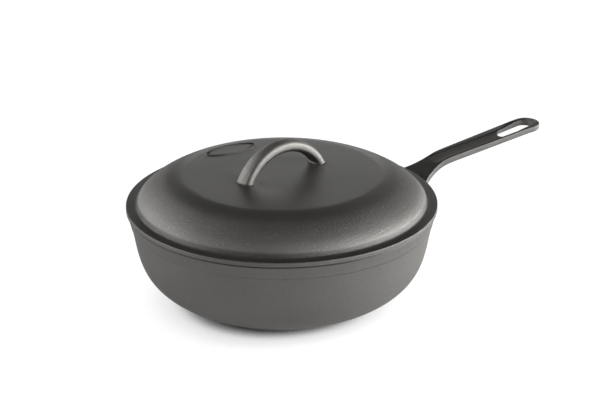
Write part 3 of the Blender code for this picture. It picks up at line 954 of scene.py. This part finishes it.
def lid_iron():
    """Seasoned iron of the lid: smooth crown, coarse shoulder lightened partly by painted
    highlight, flat ring darkened partly by painted shade.
    """
    finish = Finish(bpy.data.materials.new("lid_iron"))
    place, radius, height, facing, handle_side = measures(finish)
    zones = {name: finish.rise(radius, *radii) for name, radii in LID_RADII.items()}
    zones["loop"] = finish.rise(height, *LOOP_HEIGHTS)
    # Painted shade on the loop's downward faces.
    under = zones["loop"] * finish.rise(facing, *LOOP_FACING_DOWN)
    # Painted shade in the seam under the flange, weaker on the handle's side.
    outside = finish.rise(radius, *LID_SEAM_RADII)
    shade = seam_shade(outside * finish.rise(height, *LID_SEAM_HEIGHTS), handle_side)
    # Painted shade in the crease at the dome's foot, weaker where the flat ring starts.
    shade = shade * (1.0 - FOOT_DARK * zones["foot"] * (1.0 - FOOT_LIGHTER * zones["ring"]))
    # Painted shade in the oval's groove.
    shade = shade * (1.0 - GROOVE_SHADE * oval_groove_shade(finish, place))
    shade = shade * (1.0 - UNDER_LOOP_DARK * under)
    return cast_surface(finish, place, LID_LOOK, zones, shade)


def dress(item, material):
    """Give a piece its one material."""
    item.data.materials.clear()
    item.data.materials.append(material)


# ---- Studio

CAMERA_PLACE = (-0.60641, -1.09399, 0.59780)
CAMERA_TURN = (67.8609, 0.1390, -29.7602)
CAMERA_LENS = 93.3085
CAMERA_SENSOR = 36.0

FLOOR_HALF = 4.0
FLOOR_SINK = 0.0002
SHEET_WHITE = 0.86
SHEET_SEEN = 0.12           # what of the sheet's own light the eye gets besides its glow
# The object's shadow on the sheet is painted: its glow dims where the object hides the
# surroundings, less on the side towards SHADOW_OPEN_WAY.
SHADOW_REACH = 0.5
SHADOW_SAMPLES = 32
SHADOW_OPEN_WAY = (0.875, -0.485, 0.0)  # the side from which the shadow gets more light
SHADOW_OPEN_SIDE = (-0.07, 0.07)        # along that way
SHADOW_FAR_SIDE = 0.74                  # openness is multiplied by this away from the light,
SHADOW_NEAR_MORE = 0.56                 # and by this much more towards it
CONTACT_OPENNESS = (0.06, 0.20)         # openness in the dark of the shadow, and past it
HAZE_OPENNESS = (0.12, 0.48)            # the same for the pale haze round the shadow
HAZE_SHARE = 0.28

SKY_HEIGHTS = (0.25, 0.60)  # upward part of the direction: horizon's light ends, dark starts
SKY_LOW = 0.12
SKY_HIGH = 0.02

LAMP_DISTANCE = 1.7
LAMP_WIDTH = 0.9
LAMPS = (
    # name, azimuth and elevation from the pan, height, power
    ("key_softbox", 304.0, 18.0, 0.9, 24.0),
    ("right_softbox", 346.0, 1.0, 0.4, 27.0),
    ("left_softbox", 122.0, 22.0, 0.6, 10.0),
    ("low_left_softbox", 160.0, 5.0, 0.4, 10.0),
    ("back_softbox", 60.0, 12.0, 0.6, 2.0),
)


def add_floor():
    """Pale sheet that the pan stands on: white to the eye, but for a painted soft shadow of the
    object.
    """
    builder = bmesh.new()
    bmesh.ops.create_grid(builder, x_segments=1, y_segments=1, size=FLOOR_HALF)
    floor = solid("studio_floor", builder)
    floor.location = (0.0, 0.0, -FLOOR_SINK)
    finish = Finish(bpy.data.materials.new("studio_sheet"))
    seen = finish.node("LightPath", {}, {}, output="Is Camera Ray")
    samples, reach = {"samples": SHADOW_SAMPLES}, {"Distance": SHADOW_REACH}
    # Painted shadow from how much of the surroundings each place sees.
    openness = finish.node("AmbientOcclusion", samples, reach, output="AO")
    side = finish.along(finish.coordinates("Object"), SHADOW_OPEN_WAY)
    lit = finish.rise(side, *SHADOW_OPEN_SIDE)
    openness = openness * (SHADOW_FAR_SIDE + SHADOW_NEAR_MORE * lit)
    contact = finish.rise(openness, *CONTACT_OPENNESS)
    haze = finish.rise(openness, *HAZE_OPENNESS)
    glow = seen * (contact + HAZE_SHARE * (haze - contact))
    shader = finish.node("BsdfPrincipled", {}, {
        "Base Color": finish.mix(seen, grey(SHEET_WHITE, 0.0), grey(SHEET_SEEN, 0.0)),
        "Roughness": 1.0,
        "Specular IOR Level": 0.0,
        "Emission Color": finish.mix(glow, BLACK, WHITE),
        "Emission Strength": 1.0,
    })
    dress(floor, finish.show(shader))


def add_world():
    """Pale surroundings, bright near the horizon and dark overhead; white to the eye."""
    finish = Finish(bpy.data.worlds.new("studio_surroundings"))
    upward = finish.part(finish.coordinates("Generated"), "Z")
    light = finish.rise(upward, *SKY_HEIGHTS, SKY_LOW, SKY_HIGH)
    seen = finish.node("LightPath", {}, {}, output="Is Camera Ray")
    strength = finish.maths("MAXIMUM", light, seen)
    backdrop = finish.node("Background", {}, {"Color": WHITE, "Strength": strength})
    bpy.context.scene.world = finish.show(backdrop, "OutputWorld")


def add_lamps():
    """Soft boxes that look at the middle of the rim."""
    target = Vector((0.0, 0.0, RIM_HEIGHT))
    for name, azimuth, elevation, height, power in LAMPS:
        light = bpy.data.lights.new(name, "AREA")
        light.shape = "RECTANGLE"
        light.size = LAMP_WIDTH
        light.size_y = height
        light.energy = power
        lamp = bpy.data.objects.new(name, light)
        turn, rise = math.radians(azimuth), math.radians(elevation)
        level = math.cos(rise)
        way = Vector((math.cos(turn) * level, math.sin(turn) * level, math.sin(rise)))
        lamp.location = target + way * LAMP_DISTANCE
        lamp.rotation_euler = way.to_track_quat("Z", "Y").to_euler()
        bpy.context.scene.collection.objects.link(lamp)


def add_camera():
    """Camera at the photograph's place."""
    lens = bpy.data.cameras.new("camera")
    lens.lens = CAMERA_LENS
    lens.sensor_width = CAMERA_SENSOR
    camera = bpy.data.objects.new("camera", lens)
    camera.location = CAMERA_PLACE
    camera.rotation_euler = [math.radians(turn) for turn in CAMERA_TURN]
    bpy.context.scene.collection.objects.link(camera)
    bpy.context.scene.camera = camera


# ---- The whole

pan = make_pan()
dress(pan, pan_iron())
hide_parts("pan")
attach(pan, "pan")

lid = make_lid()
dress(lid, lid_iron())
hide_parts("lid")
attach(lid, "lid")

add_floor()
add_world()
add_lamps()
add_camera()
bpy.context.scene.view_settings.view_transform = "Standard"
